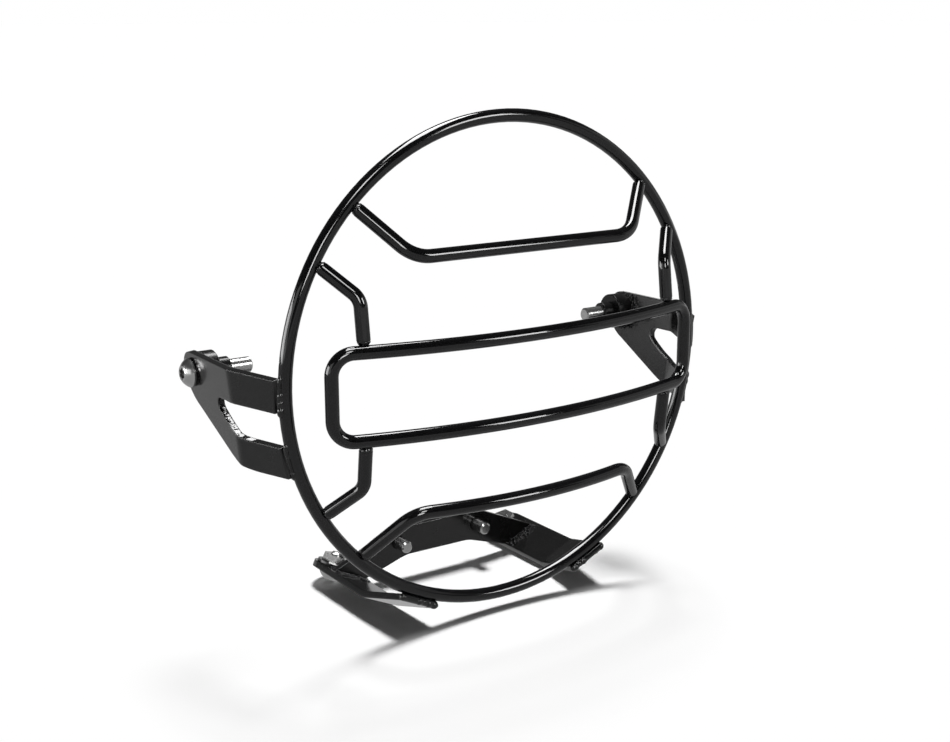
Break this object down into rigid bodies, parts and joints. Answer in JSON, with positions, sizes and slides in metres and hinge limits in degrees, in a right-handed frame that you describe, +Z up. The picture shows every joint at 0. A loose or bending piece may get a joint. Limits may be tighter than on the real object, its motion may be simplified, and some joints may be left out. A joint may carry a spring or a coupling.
{
  "type": "motorcycle headlight guard",
  "caption": "Round wire grille that bolts in front of a motorcycle headlight, with bent side brackets, lower arms and a cross plate carrying its fixing bolts.",
  "frame": {"origin": "centre of the ring, on its tube's centre plane", "axes": "+Z up, +Y back towards the headlight, +X to the right as seen from the front; the front of the guard faces -Y"},
  "size_m": [0.216, 0.0953, 0.1936],
  "materials": {
    "gloss_black": "gloss",
    "satin_black": "satin",
    "black_steel": "gloss",
    "stainless": "polished"
  },
  "bodies": {
    "root": {"centre_loop": "gloss_black", "cross_plate": "satin_black", "left_arm_bolt": "stainless", "left_arm_nut": "stainless", "left_arm_washer": "black_steel", "left_front_bolt": "stainless", "left_lower_arm": "satin_black", "left_lower_strut": "gloss_black", "left_side_bolt": "stainless", "left_side_boss": "black_steel", "left_side_bracket": "satin_black", "left_side_collar": "black_steel", "left_side_washer": "black_steel", "left_upper_strut": "gloss_black", "lower_bar": "gloss_black", "right_arm_bolt": "stainless", "right_arm_nut": "stainless", "right_arm_washer": "black_steel", "right_front_bolt": "stainless", "right_lower_arm": "satin_black", "right_lower_strut": "gloss_black", "right_side_bolt": "stainless", "right_side_boss": "black_steel", "right_side_bracket": "satin_black", "right_side_collar": "black_steel", "right_side_washer": "black_steel", "right_upper_strut": "gloss_black", "ring": "gloss_black", "upper_bar": "gloss_black"}
  },
  "joints": []
}
